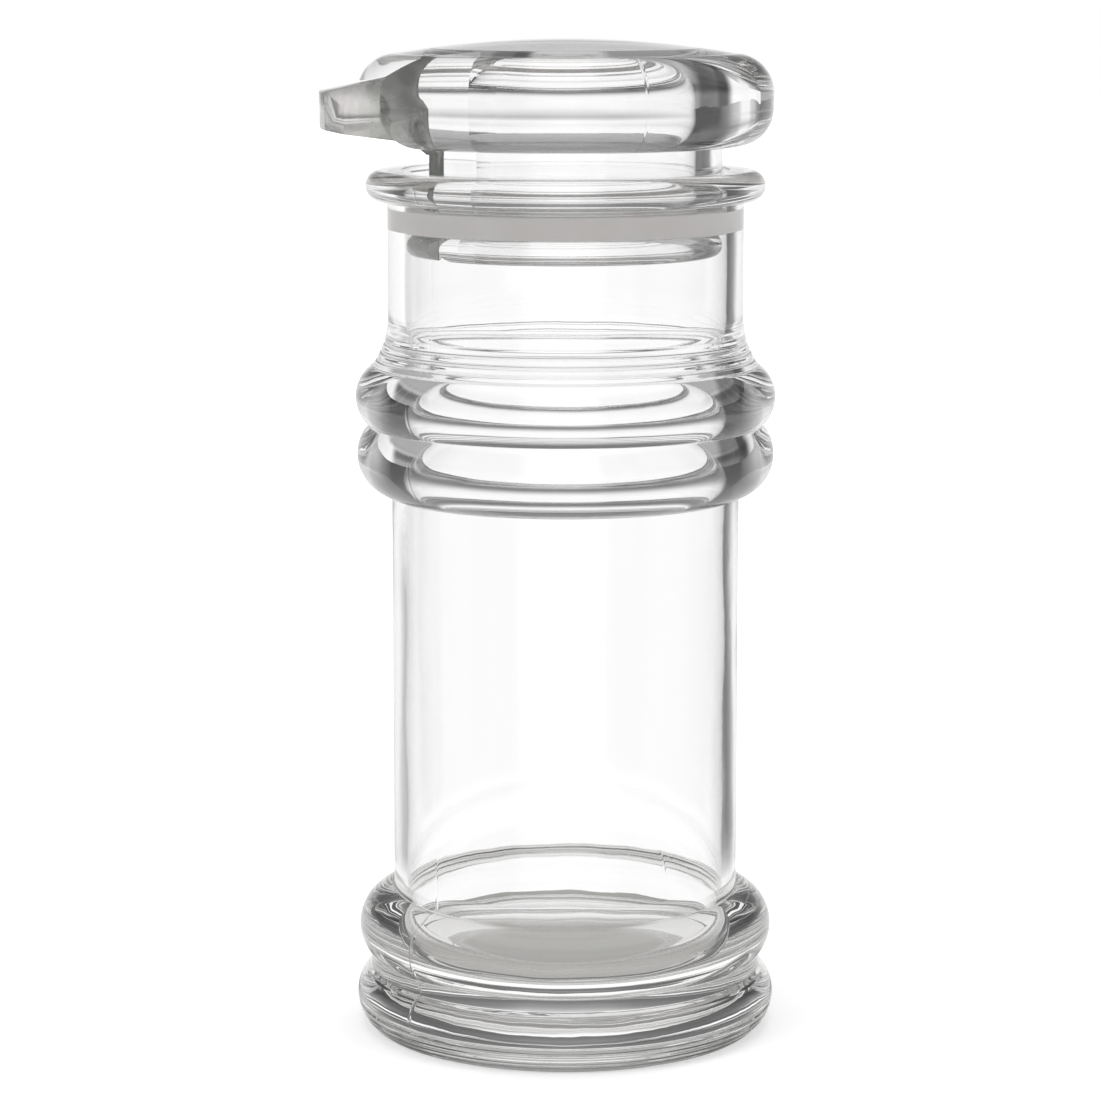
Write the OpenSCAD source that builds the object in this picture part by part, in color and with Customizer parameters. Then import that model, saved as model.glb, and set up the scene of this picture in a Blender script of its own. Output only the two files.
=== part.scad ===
// Clear table shaker for grated hard cheese: a banded jar with a soft-sealed plug lid,
// and a wide L-shaped thumb lever that opens a pouring notch in the lid's left side.
// Millimetres, +Z up, origin at the centre of the rest face. The lever points along -X.

/* [Jar] */
// Height of the jar's rim above the table
jar_h = 143.2; // [132:0.2:156]
// Inside diameter of the straight bore
bore_d = 53; // [50:0.2:55]
// Wall thickness of the straight body
body_wall = 2.3; // [1.8:0.1:2.8]
// Height of the inside floor above the table
floor_z = 14.4; // [12:0.2:17]
// Radius of the inside corner at the floor
floor_round = 3; // [2:0.2:5]
// Rounding of the mouth's inner edge
mouth_round = 0.8; // [0.4:0.1:1]

/* [Base flange and foot] */
// Widest diameter of the base flange
base_d = 70.2; // [68:0.2:73]
// Edge radius of the base flange
base_round = 6; // [5.4:0.1:6.4]
// Height of the base flange's widest ring
base_mid_z = 4.9; // [4.2:0.1:5.2]
// Diameter of the valley between the base flange and the low bead
waist_d = 65.2; // [63:0.2:66.4]
// Depth of the recess under the base
recess_h = 1.8; // [1:0.1:2.4]
// Diameter of the recess under the base
recess_d = 54; // [46:0.5:58]
// Diameter of the moulding dimple at the centre of the recess
dimple_d = 9; // [6:0.5:12]
// Depth of the moulding dimple
dimple_h = 0.8; // [0.4:0.1:1.2]
// Radius of each fine groove round the flange and the flare
groove_round = 0.35; // [0.2:0.05:0.45]

/* [Beads] */
// Height of the low bead's widest ring
low_bead_z = 16.8; // [16:0.1:18]
// Widest diameter of the low bead
low_bead_d = 69.2; // [67.5:0.2:71]
// Edge radius of the low bead
low_bead_round = 6.3; // [5.8:0.1:6.6]
// Widest diameter of the upper shoulder bead
top_bead_d = 69.4; // [68:0.2:71]
// Edge radius of the upper shoulder bead
top_bead_round = 6.2; // [5.8:0.1:6.6]
// Widest diameter of the lower shoulder bead
mid_bead_d = 69; // [67.5:0.2:71]
// Edge radius of the lower shoulder bead
mid_bead_round = 7; // [6.6:0.1:7.4]
// Distance between the two shoulder beads
bead_pitch = 9.5; // [8.8:0.1:10.4]

/* [Neck and rim] */
// Wall thickness of the neck
neck_wall = 2.8; // [2.4:0.1:3.2]
// Height of the straight neck below the rim
neck_h = 18.7; // [17.5:0.1:20]
// Radius of the concave flare below the neck
flare_round = 14.3; // [13:0.1:16]
// Height from the upper shoulder bead to the top of the flare
flare_h = 13.5; // [12.5:0.1:14.5]
// Half of the rim's thickness
rim_round = 2.5; // [2.2:0.1:3]
// How far the rim stands out from the neck
rim_out = 3.5; // [2.8:0.1:4.2]

/* [Lid] */
// Gap between the jar's rim and the underside of the lid
lid_gap = 4; // [3.4:0.1:5]
// Widest diameter of the lid
head_d = 68; // [66:0.2:72]
// Radius of the lid's lower edge
head_low_round = 5.9; // [5.4:0.1:6.4]
// Radius of the lid's upper edge
head_top_round = 6.4; // [5.8:0.1:6.8]
// Height of the straight band between the two edge radii
head_band = 2.6; // [2.2:0.1:3.4]
// Rise of the dome above the lid's upper edge
dome_rise = 2.3; // [1.6:0.1:2.8]
// Inside diameter of the lid's hollow
hollow_d = 42.8; // [41.6:0.2:43.4]
// Thickness of the crown disc at its rim, down to the ledge that it rests on
crown_h = 1.8; // [1.4:0.1:2.2]
// Length of the crown's spigot below that ledge
spigot_h = 1.9; // [1:0.1:2.2]
// Width of the ledge under the crown disc
ledge_w = 0.8; // [0.5:0.1:1.2]

/* [Plug and seal] */
// Gap between the plug and the bore
plug_gap = 0.8; // [0.6:0.05:1]
// Depth from the jar's rim down to the plug's lower end
plug_depth = 13.9; // [13.2:0.1:14.8]
// Height of the retaining ring at the plug's lower end
ring_h = 3.9; // [3.4:0.1:4.4]
// Height of the seal's groove
seal_groove_h = 4.1; // [3.6:0.1:4.6]
// Wall thickness of the plug inside the seal
core_wall = 1.8; // [1.5:0.1:2]
// Edge radius of the seal
seal_round = 0.6; // [0.3:0.1:0.9]

/* [Notch and lever] */
// Width of the pouring notch in the lid
notch_w = 33.6; // [30:0.2:35]
// Gap on each side of the lever in the notch
lever_side_gap = 0.4; // [0.3:0.05:0.6]
// Distance from the lid's axis to the lever's pin
pin_x = 21.6; // [21.4:0.1:21.8]
// Height of the pin above the underside of the lid
pin_h = 4.3; // [4:0.1:5]
// Diameter of the lever's pin
pin_d = 2.4; // [2:0.1:2.8]
// Length of pin seated in the lid on each side of the notch
pin_seat = 3.4; // [2.6:0.1:4]
// Distance from the lid's axis to the tip of the lever
tip_x = 40.2; // [39:0.1:43]
// Thickness of the lever at its tip
tip_h = 5.8; // [5:0.1:6.4]
// Height of the tip's underside above the underside of the lid
tip_lift = 3; // [2.4:0.1:3.4]
// Width of the lever's tip between its slanted sides
tip_w = 17; // [13:0.5:22]
// Length of the slanted sides of the lever's tip
taper_l = 4.9; // [4:0.1:7]
// Rise of the lever's top from its tip to the stem
top_rise = 3.6; // [3:0.1:4]
// Drop of the lever's underside from its tip to the heel
belly_drop = 1.9; // [1.4:0.1:2.4]
// Length of the slanted heel outside the stem
heel_l = 2.3; // [1.8:0.1:3]
// Height of the slanted heel
heel_h = 1.9; // [1.4:0.1:2.2]
// Width of the level bevel along each side of the lever's top, at the tip
bevel_w = 4.6; // [3.6:0.1:5.4]
// Depth of that bevel at the tip
bevel_h = 2.2; // [1.6:0.1:2.6]
// Width of the lever's stem
stem_w = 10; // [8:0.2:11]
// Thickness of the lever's stem
stem_t = 3; // [2.4:0.1:3.4]
// Distance from the lid's axis to the outer face of the stem
stem_x = 22.2; // [21.8:0.1:22.3]
// Distance from the lid's axis to the shoulder at the inner end of the lever's top
shoulder_x = 22.6; // [22.2:0.1:23]
// Drop from that shoulder to the stem's inner face
shoulder_drop = 4.6; // [3.8:0.1:5.2]
// Length of the foot from its inner edge to the plug's outer face
foot_l = 6.2; // [5.6:0.1:6.6]
// How far the foot's rounded edge stands out past the plug
foot_out = 0.5; // [0.3:0.05:0.6]
// Height of the foot at the stem's lower end
foot_h = 3.2; // [2.6:0.1:3.4]
// Width of the foot
foot_w = 31; // [26:0.2:31.4]

/* [Clearances] */
// Radial gap between the seal and the bore, and between the seal and its seat
seal_gap = 0.05; // [0.02:0.01:0.1]
// Gap between the seal and the faces above and below it
seal_end_gap = 0.15; // [0.1:0.05:0.3]
// Radial gap between the pin and the lever
pin_gap = 0.05; // [0.02:0.01:0.1]
// Gap between the foot and the seal above it
foot_gap = 0.6; // [0.5:0.05:0.8]
// Gap between the lever's top and the roof of the notch
roof_gap = 0.4; // [0.3:0.05:0.8]

/* [Hidden] */
$fn = 96;
over = 1;
groove_count = 4;
groove_step = 12;
base_groove_from = -8;
flare_groove_from = 198;
full_turn = 360;
quarter = 90;

// Jar
bore_r = bore_d / 2;
body_r = bore_r + body_wall;
neck_r = bore_r + neck_wall;
rim_r = neck_r + rim_out;
base_r = base_d / 2;
waist_r = waist_d / 2;
low_bead_r = low_bead_d / 2;
top_bead_r = top_bead_d / 2;
mid_bead_r = mid_bead_d / 2;
recess_r = recess_d / 2;
dimple_r = dimple_d / 2;
flare_top_z = jar_h - neck_h - 2 * rim_round;
top_bead_z = flare_top_z - flare_h;
mid_bead_z = top_bead_z - bead_pitch;
flare_foot_share = 0.95;
flare_foot_r = top_bead_r * flare_foot_share;

// Lid
under_z = jar_h + lid_gap;
head_r = head_d / 2;
low_edge_z = under_z + head_low_round;
top_edge_z = low_edge_z + head_band;
dome_z = top_edge_z + head_top_round;
dome_half = head_r - head_top_round;
dome_r = (dome_half * dome_half + dome_rise * dome_rise) / (2 * dome_rise);
apex_z = dome_z + dome_rise;
hollow_r = hollow_d / 2;
crown_r = hollow_r + ledge_w;
crown_rim_z = apex_z - dome_r + sqrt(dome_r * dome_r - crown_r * crown_r);
ledge_z = crown_rim_z - crown_h;

// Plug and seal
plug_r = bore_r - plug_gap;
plug_z = jar_h - plug_depth;
ring_top_z = plug_z + ring_h;
collar_z = ring_top_z + seal_groove_h;
core_r = hollow_r + core_wall;

// Lever
pin_z = under_z + pin_h;
pin_r = pin_d / 2;
lever_w = notch_w - 2 * lever_side_gap;
pin_half = notch_w / 2 + pin_seat;
tip_z = under_z + tip_lift;
belly_z = tip_z - belly_drop;
elbow_z = belly_z - heel_h;
stem_in_x = stem_x - stem_t;
top_z = tip_z + tip_h + top_rise;
foot_in_x = plug_r - foot_l;
foot_top_z = ring_top_z + seal_end_gap - foot_gap;
foot_z = foot_top_z - foot_h;
roof_slope = top_rise / (tip_x - shoulder_x);
roof_z = top_z + roof_gap;
roof_out_z = roof_z - roof_slope * (head_r + over - shoulder_x);
bevel_slope = bevel_h / bevel_w;

module jar_outline() {
    translate([base_r - base_round, base_mid_z]) circle(base_round);
    square([base_r - base_round, low_bead_z]);
    translate([0, base_mid_z]) square([waist_r, low_bead_z - base_mid_z]);
    translate([low_bead_r - low_bead_round, low_bead_z]) circle(low_bead_round);
    square([body_r, mid_bead_z]);
    translate([mid_bead_r - mid_bead_round, mid_bead_z]) circle(mid_bead_round);
    translate([0, mid_bead_z]) square([top_bead_r - top_bead_round, bead_pitch]);
    translate([top_bead_r - top_bead_round, top_bead_z]) circle(top_bead_round);
    difference() {
        translate([0, top_bead_z]) square([flare_foot_r, flare_h]);
        translate([neck_r + flare_round, flare_top_z]) circle(flare_round);
    }
    translate([0, top_bead_z]) square([neck_r, jar_h - rim_round - top_bead_z]);
    translate([0, jar_h - 2 * rim_round]) square([rim_r - rim_round, 2 * rim_round]);
    translate([rim_r - rim_round, jar_h - rim_round]) circle(rim_round);
}

module bore_outline() {
    translate([0, floor_z + floor_round]) square([bore_r, jar_h + over - floor_z - floor_round]);
    translate([0, floor_z]) square([bore_r - floor_round, floor_round + over]);
    translate([bore_r - floor_round, floor_z + floor_round]) circle(floor_round);
    polygon([[0, jar_h - mouth_round], [bore_r, jar_h - mouth_round],
        [bore_r + mouth_round + over, jar_h + over], [0, jar_h + over]]);
}

module jar_body() {
    color([0.9, 0.92, 0.93, 0.4])
    rotate_extrude(angle = full_turn) difference() {
        intersection() {
            jar_outline();
            square([base_r + rim_r, jar_h]);
        }
        bore_outline();
        translate([0, -over]) square([recess_r, recess_h + over]);
        square([dimple_r, recess_h + dimple_h]);
        for (i = [0:groove_count - 1]) {
            translate([base_r - base_round, base_mid_z])
                rotate(base_groove_from - i * groove_step) translate([base_round, 0]) circle(groove_round);
            translate([neck_r + flare_round, flare_top_z])
                rotate(flare_groove_from + i * groove_step / 2)
                translate([flare_round, 0]) circle(groove_round);
        }
    }
}

module head_outline() {
    translate([head_r - head_low_round, low_edge_z]) circle(head_low_round);
    translate([head_r - head_top_round, top_edge_z]) circle(head_top_round);
    translate([0, low_edge_z]) square([head_r, head_band]);
    translate([0, under_z]) square([head_r - head_low_round, head_low_round]);
    translate([0, low_edge_z]) square([dome_half, dome_z - low_edge_z]);
    intersection() {
        translate([0, apex_z - dome_r]) circle(dome_r, $fn = 720);
        translate([0, top_edge_z]) square([dome_half, apex_z - top_edge_z + over]);
    }
    translate([0, collar_z]) square([plug_r, under_z + head_low_round - collar_z]);
    translate([0, plug_z]) square([core_r, collar_z + over - plug_z]);
}

module notch() {
    translate([0, notch_w / 2, 0]) rotate([quarter, 0, 0]) linear_extrude(notch_w)
        polygon([[-head_r - over, plug_z - over], [0, plug_z - over], [0, ledge_z - roof_gap],
            [-hollow_r, ledge_z - roof_gap], [-hollow_r, roof_z], [-shoulder_x, roof_z],
            [-head_r - over, roof_out_z]]);
}

module pin_shape(radius) {
    translate([-pin_x, pin_half, pin_z]) rotate([quarter, 0, 0]) cylinder(r = radius, h = 2 * pin_half);
}

module lid_head() {
    color([0.92, 0.93, 0.94, 0.4]) difference() {
        rotate_extrude(angle = full_turn) difference() {
            head_outline();
            translate([0, plug_z - over]) square([hollow_r, apex_z - plug_z + 2 * over]);
            translate([0, ledge_z]) square([crown_r, apex_z - ledge_z + over]);
        }
        notch();
        pin_shape(pin_r);
    }
}

module lid_crown() {
    color([0.9, 0.91, 0.92, 0.4]) rotate_extrude(angle = full_turn) {
        intersection() {
            translate([0, apex_z - dome_r]) circle(dome_r, $fn = 720);
            translate([0, ledge_z]) square([crown_r, apex_z - ledge_z + over]);
        }
        translate([0, ledge_z - spigot_h]) square([hollow_r, spigot_h + crown_h]);
    }
}

module retaining_ring() {
    color([0.93, 0.93, 0.93, 0.4]) difference() {
        rotate_extrude(angle = full_turn) difference() {
            union() {
                translate([0, plug_z]) square([plug_r - ring_h / 2, ring_h]);
                translate([plug_r - ring_h / 2, plug_z + ring_h / 2]) circle(ring_h / 2);
            }
            translate([0, plug_z - over]) square([core_r, ring_h + 2 * over]);
        }
        notch();
    }
}

module seal_ring() {
    in_r = core_r + seal_gap;
    out_r = bore_r - seal_gap;
    low_z = ring_top_z + seal_end_gap;
    high_z = collar_z - seal_end_gap;
    color([0.81, 0.8, 0.78]) rotate_extrude(angle = full_turn) {
        translate([in_r, low_z]) square([out_r - seal_round - in_r, high_z - low_z]);
        translate([in_r, low_z + seal_round]) square([out_r - in_r, high_z - low_z - 2 * seal_round]);
        translate([out_r - seal_round, low_z + seal_round]) circle(seal_round);
        translate([out_r - seal_round, high_z - seal_round]) circle(seal_round);
    }
}

module lever_side() {
    polygon([[-tip_x, tip_z], [-tip_x, tip_z + tip_h], [-shoulder_x, top_z],
        [-stem_in_x, top_z - shoulder_drop], [-stem_in_x, elbow_z], [-stem_x, elbow_z],
        [-stem_x - heel_l, belly_z]]);
}

module lever_plan() {
    polygon([[-stem_in_x, -lever_w / 2], [-stem_in_x, lever_w / 2],
        [taper_l - tip_x, lever_w / 2], [-tip_x, tip_w / 2],
        [-tip_x, -tip_w / 2], [taper_l - tip_x, -lever_w / 2]]);
}

module lever_front() {
    peak = bevel_slope * lever_w / 2;
    polygon([[-lever_w, -lever_w], [lever_w, -lever_w], [lever_w, -bevel_h - peak],
        [0, peak - bevel_h], [-lever_w, -bevel_h - peak]]);
}

module foot_outline() {
    square([plug_r + foot_out - foot_h / 2, foot_h]);
    translate([plug_r + foot_out - foot_h / 2, foot_h / 2]) circle(foot_h / 2);
}

module thumb_lever() {
    color([0.75, 0.76, 0.74]) difference() {
        union() {
            intersection() {
                translate([0, lever_w / 2, 0]) rotate([quarter, 0, 0]) linear_extrude(lever_w) lever_side();
                translate([0, 0, elbow_z]) linear_extrude(top_z - elbow_z) lever_plan();
                rotate_extrude(angle = full_turn)
                    polygon([[0, elbow_z - over], [tip_x, elbow_z - over],
                        [tip_x, tip_z + tip_h], [shoulder_x, top_z], [0, top_z]]);
                translate([-tip_x - over, 0, tip_z + tip_h]) rotate([quarter, 0, quarter])
                    linear_extrude(tip_x) lever_front();
            }
            translate([-stem_x, -stem_w / 2, foot_z]) cube([stem_t, stem_w, elbow_z + over - foot_z]);
            intersection() {
                translate([0, 0, foot_z]) rotate_extrude(angle = full_turn) foot_outline();
                translate([-plug_r - over, -foot_w / 2, foot_z])
                    cube([plug_r + over - foot_in_x, foot_w, foot_h]);
            }
        }
        pin_shape(pin_r + pin_gap);
    }
}

module lever_pin() {
    color([0.88, 0.89, 0.9, 0.5]) pin_shape(pin_r);
}

jar_body();
lid_head();
lid_crown();
retaining_ring();
seal_ring();
thumb_lever();
lever_pin();
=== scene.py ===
import math

import bmesh
import bpy
import numpy as np
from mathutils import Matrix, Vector, noise
from mathutils.bvhtree import BVHTree


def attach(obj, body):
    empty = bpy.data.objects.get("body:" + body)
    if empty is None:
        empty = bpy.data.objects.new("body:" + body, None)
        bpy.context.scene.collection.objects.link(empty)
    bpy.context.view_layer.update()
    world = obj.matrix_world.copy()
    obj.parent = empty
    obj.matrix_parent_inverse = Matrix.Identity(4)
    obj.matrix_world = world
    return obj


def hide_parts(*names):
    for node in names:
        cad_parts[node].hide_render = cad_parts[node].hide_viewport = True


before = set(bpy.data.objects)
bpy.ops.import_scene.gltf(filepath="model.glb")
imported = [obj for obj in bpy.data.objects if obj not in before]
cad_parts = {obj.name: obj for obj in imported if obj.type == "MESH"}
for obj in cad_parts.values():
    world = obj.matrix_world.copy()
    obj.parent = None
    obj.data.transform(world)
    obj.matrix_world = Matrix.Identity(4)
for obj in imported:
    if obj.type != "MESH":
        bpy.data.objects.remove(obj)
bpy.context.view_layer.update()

# Profiles are points (radius, height) in millimetres. Blender's objects are in metres.

MM = 0.001
SCENE = bpy.context.scene
WHITE = (1, 1, 1)

# Steps along the lines that profiles are made from, and faces round a turned body

ARC_STEP = 0.06
GROOVE_STEP = 0.04
LINE_STEP = 0.05
DOME_STEP = 0.3
TURN_FACES = 192
TOOL_FACES = 240

# Mould seams, as bearings in degrees, with half their width and the radius that their points are set for

FRONT = -90.0
SEAM_HEIGHT = 0.05
SEAM_JAR = (FRONT - 47.0, FRONT + 143.0)
SEAM_JAR_HALF, SEAM_JAR_R = 0.22, 29.5
SEAM_LID = (FRONT + 21.7, FRONT + 201.7)
SEAM_LID_HALF, SEAM_LID_R = 0.2, 33

# Jar's bore, floor and rim

BORE = 26.5
FLOOR = 14.4
FLOOR_CORNER = 3.0
RIM = 143.2
RIM_EDGE = 0.8

# Jar's beads and its hollow flare as circles: radius and height of the centre, and own radius

BASE = (29.1, 4.9, 6.0)
LOW = (28.3, 16.8, 6.3)
MID = (27.5, 96.5, 7.0)
TOP = (28.5, 106.0, 6.2)
FLARE = (43.6, 119.5, 14.3)
LIP = (30.3, 140.7, 2.5)

# Jar's outer radii at the crease over the base, at the straight body and at the neck

WAIST = 32.6
BODY = 28.8
NECK = 29.3

# Recess and dimple underneath, whose walls lean outwards by DRAFT

DIMPLE, DIMPLE_Z = 4.2, 2.6
RECESS, RECESS_Z = 26.7, 1.8
DRAFT = 0.5

# Grooves round the base and the flare, as angles on their circles, and the spans with turning marks

GROOVE_DEPTH = 0.32
GROOVE_HALF = 0.33
MARK_DEPTH = 0.03
MARKS_ROUND = 90
BASE_GROOVES = [-8 - 12 * i for i in range(4)]
BASE_MARKS = (308, 356)
FLARE_GROOVES = [198 + 6 * i for i in range(4)]
FLARE_MARKS = (192, 222)

# Waves of the jar's moulded walls: how fast they run round and up, their depths, and where each runs

WAVE_ROUND, WAVE_UP = 0.11, 0.05
BORE_WAVE, OUTER_WAVE, BASE_WAVE, FLOOR_WAVE = 0.045, 0.03, 0.02, 0.10
INNER_WALL, OUTER_WALL = 27, 28
BORE_LOW, MOUTH_Z, MOUTH_FADE = 15, 127, 8
FLOOR_LOW, FLOOR_HIGH = 13.0, 15.5
BEADS_Z, NECK_Z = 23, 136

# The base's wall is drawn in a little, so that its waves stay in the CAD's box

BASE_Z, BASE_IN = 9, 0.05

# The jar's seams: where they run, and how much of their height is left at the base, the body and above

SEAM_LOW, SEAM_HIGH = 4, 141
SEAM_BASE_Z, SEAM_BODY_Z = 24, 126
SEAM_AT_BASE, SEAM_AT_BODY, SEAM_AT_TOP = 1.0, 0.12, 0.5

# Lid's head: hollow, seat and ledge of the crown, wide plug, narrower core under it, and two outer circles

HOLLOW = 21.4
SEAT = 22.2
LEDGE = 161.12
PLUG = 25.7
CORE = 23.2
PLUG_Z = 129.3
SHOULDER_Z = 137.3
HEAD_LOWER = (28.1, 153.1, 5.9)
HEAD_UPPER = (27.6, 155.7, 6.4)
HEAD_WAVE = 0.12
HEAD_INNER, HEAD_INNER_Z, HEAD_OUTER = 22.0, 160, 29

# Lid's dome

DOME_EDGE = 27.5
DOME_RISE = 2.3
LID_TOP = 164.4
DOME_R = (HEAD_UPPER[0] ** 2 + DOME_RISE ** 2) / (2 * DOME_RISE)
DOME_Z = LID_TOP - DOME_R

# Crown, retaining ring and seal; BOND is how deep seal and pin run into what they touch

SEAT_GAP = 0.03
CROWN_GAP = 0.04
CROWN_DEPTH = 1.9
RING_R = 1.95
RING_GAP = 0.02
SEAL_LOW, SEAL_HIGH = 133.35, 137.15
BOND = 0.02

# Notch on the left, and the pin across it

NOTCH_HALF = 16.8
NOTCH_OUT = 36.0
NOTCH_LOW = 128.0
NOTCH_TOP = 160.0
NOTCH_MOUTH = 157.26
NOTCH_UNDER = 0.4
RING_SLOT_OUT, RING_SLOT_TOP = 30.0, 135.0
PIN_X, PIN_Z, PIN_R, PIN_HALF = -21.6, 151.5, 1.2, 20.15
PIN_EDGE, PIN_EDGE_ANGLE = 0.25, 40
PIN_FACES = 64
PIN_BORE_HALF = 18.0

# Lever: tab outside, elbow in the notch, stem, and foot in the ring's gap

TIP, TIP_HALF = 40.2, 8.5
TIP_LOW, TIP_HIGH = 150.2, 156.0
CORNER = 35.3
ELBOW, ELBOW_Z = 22.6, 159.6
INNER, INNER_Z = 19.2, 155.0
STEM, STEM_Z = 22.2, 146.4
HEEL, HEEL_Z = 24.5, 148.3
LEVER_HALF = 16.4
EAVE_Z, ROOF_SLOPE = 153.8, 0.478
STEM_IN, STEM_HALF = 19.3, 5.0
STEM_LOW, STEM_TOP = 130.6, 147.4
FOOT, FOOT_R, FOOT_LOW = 26.2, 1.6, 129.55
FOOT_IN, FOOT_HALF = 19.5, 15.5
LEVER_EDGE, LEVER_EDGE_ANGLE = 0.4, 28

# Places past the lever that its cutting shapes reach to

PAST_SIDE = 20
PAST_LOW, PAST_CONE, PAST_PLAN, PAST_TOP = 140, 144, 145, 161
PAST_TIP, PAST_INNER = 42, 10
PAST_FOOT_LOW, PAST_FOOT_TOP = 129, 134


# Profiles


def arc(cx, cz, r, a0, a1, step=ARC_STEP):
    """Points of an arc in the profile plane, both ends included."""
    n = max(3, int(abs(math.radians(a1 - a0)) * r / step))
    t = np.radians(np.linspace(a0, a1, n + 1))
    return [(cx + r * math.cos(a), cz + r * math.sin(a)) for a in t]


def meet(one, two, outer):
    """Where two circles cross: the crossing with the larger radius (outer) or the smaller."""
    ax, az, ar = one
    bx, bz, br = two
    dx, dz = bx - ax, bz - az
    d = math.hypot(dx, dz)
    a = (d * d + ar * ar - br * br) / (2 * d)
    h = math.sqrt(max(ar * ar - a * a, 0))
    px, pz = ax + a * dx / d, az + a * dz / d
    right = (px + h * dz / d, pz - h * dx / d)
    left = (px - h * dz / d, pz + h * dx / d)
    return max(right, left) if outer else min(right, left)


def angle_at(circle, p):
    """The angle at which a point lies on a circle."""
    return math.degrees(math.atan2(p[1] - circle[1], p[0] - circle[0]))


def angle_out(circle, radius):
    """The angle above the level at which a circle reaches this radius."""
    return math.degrees(math.acos((radius - circle[0]) / circle[2]))


def dense(points, closed=False):
    """The line through these points at an even small step."""
    same = 1e-6
    pts = np.array(points, float)
    if closed:
        pts = np.vstack([pts, pts[:1]])
    seg = np.hypot(*np.diff(pts, axis=0).T)
    pts = pts[np.concatenate([[True], seg > same])]
    seg = np.hypot(*np.diff(pts, axis=0).T)
    s = np.concatenate([[0], np.cumsum(seg)])
    t = np.linspace(0, s[-1], int(s[-1] / LINE_STEP) + 1)
    out = np.column_stack([np.interp(t, s, pts[:, 0]), np.interp(t, s, pts[:, 1])])
    return out[:-1] if closed else out


def soften(pts, width, closed=False):
    """Rounds the corners of a dense line, over about this width."""
    k = max(1, int(width / LINE_STEP / 2))
    if closed:
        big = np.vstack([pts[-k:], pts, pts[:k]])
    else:
        head = 2 * pts[0] - pts[k:0:-1]
        tail = 2 * pts[-1] - pts[-2:-k - 2:-1]
        big = np.vstack([head, pts, tail])
    w = np.hanning(2 * k + 3)[1:-1]
    w /= w.sum()
    out = np.column_stack([np.convolve(big[:, i], w, mode="valid") for i in (0, 1)])
    return out[:len(pts)]


def strays(pts, i, j):
    """How far the points between two places of a line lie from the chord that joins the two."""
    chord = pts[j] - pts[i]
    length = math.hypot(*chord)
    if length < 1e-9:
        return math.inf
    mid = pts[i + 1:j] - pts[i]
    return (np.abs(chord[0] * mid[:, 1] - chord[1] * mid[:, 0]) / length).max(initial=0)


def thin(pts, tol, reach, closed=False):
    """Fewer points: each chord stays within tol of the dense line and is at most reach long."""
    shrink = 0.8
    last = len(pts) - 1
    keep = [0]
    while keep[-1] < last:
        i = keep[-1]
        j = min(last, i + int(reach / LINE_STEP))
        while j > i + 1 and strays(pts, i, j) > tol:
            j = i + max(1, int((j - i) * shrink))
        keep.append(j)
    return pts[keep[:-1] if closed else keep]


def profile(points, closed=False, width=0.3, tol=0.003, reach=3.0):
    """A profile ready to turn: corners softened over width, then thinned to tol and reach."""
    return thin(soften(dense(points, closed), width, closed), tol, reach, closed)


def dome_line(r0, r1):
    """Points on the lid's dome between two radii."""
    n = max(2, int(abs(r1 - r0) / DOME_STEP))
    radii = [r0 + (r1 - r0) * i / n for i in range(n + 1)]
    return [(r, DOME_Z + math.sqrt(DOME_R * DOME_R - r * r)) for r in radii]


def oblong(a0, a1, b0, b1):
    """The four corners of an upright oblong."""
    return [(a0, b0), (a1, b0), (a1, b1), (a0, b1)]


# Meshes


def from_seam(angle, seam):
    """The angle in radians between a bearing in radians and a seam in degrees, signed."""
    return (angle - math.radians(seam) + math.pi) % (2 * math.pi) - math.pi


def turn_angles(count, seams=(), spread=0.0):
    """Angles round the axis in radians, with extra ones where a mould seam runs."""
    steps = (-2, -1, -0.5, 0, 0.5, 1, 2)
    clear = 2.3 * spread
    base = [2 * math.pi * i / count for i in range(count)]
    extra = []
    for seam in seams:
        extra += [(math.radians(seam) + spread * k) % (2 * math.pi) for k in steps]
        base = [b for b in base if abs(from_seam(b, seam)) > clear]
    return sorted(base + extra)


def profile_normals(prof, closed):
    """The outward direction at each point of a profile that runs upwards on its outer side."""
    tang = np.gradient(prof, axis=0)
    if closed:
        tang = np.roll(prof, -1, axis=0) - np.roll(prof, 1, axis=0)
    tang /= np.maximum(np.hypot(tang[:, 0], tang[:, 1])[:, None], 1e-9)
    return np.column_stack([tang[:, 1], -tang[:, 0]])


def band_faces(p, q, count):
    """The faces between two rows of a turned body; a row of one point is on the axis."""
    faces = []
    for j in range(count):
        k = (j + 1) % count
        if len(p) == 1:
            faces.append((p[0], q[k], q[j]))
        elif len(q) == 1:
            faces.append((p[j], p[k], q[0]))
        else:
            faces.append((p[j], p[k], q[k], q[j]))
    return faces


def lathe(name, prof, angles, closed=False, shift=None):
    """A turned body, moved off its profile by shift. Where the line meets the axis it closes there."""
    on_axis = 1e-4
    prof = np.array(prof, float)
    norm = profile_normals(prof, closed)
    ends = () if closed else (0, len(prof) - 1)
    verts, rows = [], []
    for i, (r, z) in enumerate(prof):
        if i in ends and r < on_axis:
            rows.append([len(verts)])
            verts.append((0.0, 0.0, z * MM))
            continue
        rows.append(list(range(len(verts), len(verts) + len(angles))))
        for a in angles:
            d = shift(r, z, a, norm[i]) if shift else 0.0
            rr, zz = r + d * norm[i, 0], z + d * norm[i, 1]
            verts.append((rr * math.cos(a) * MM, rr * math.sin(a) * MM, zz * MM))
    pairs = list(zip(rows, rows[1:])) + ([(rows[-1], rows[0])] if closed else [])
    faces = [face for p, q in pairs for face in band_faces(p, q, len(angles))]
    return solid(name, verts, faces)


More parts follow.
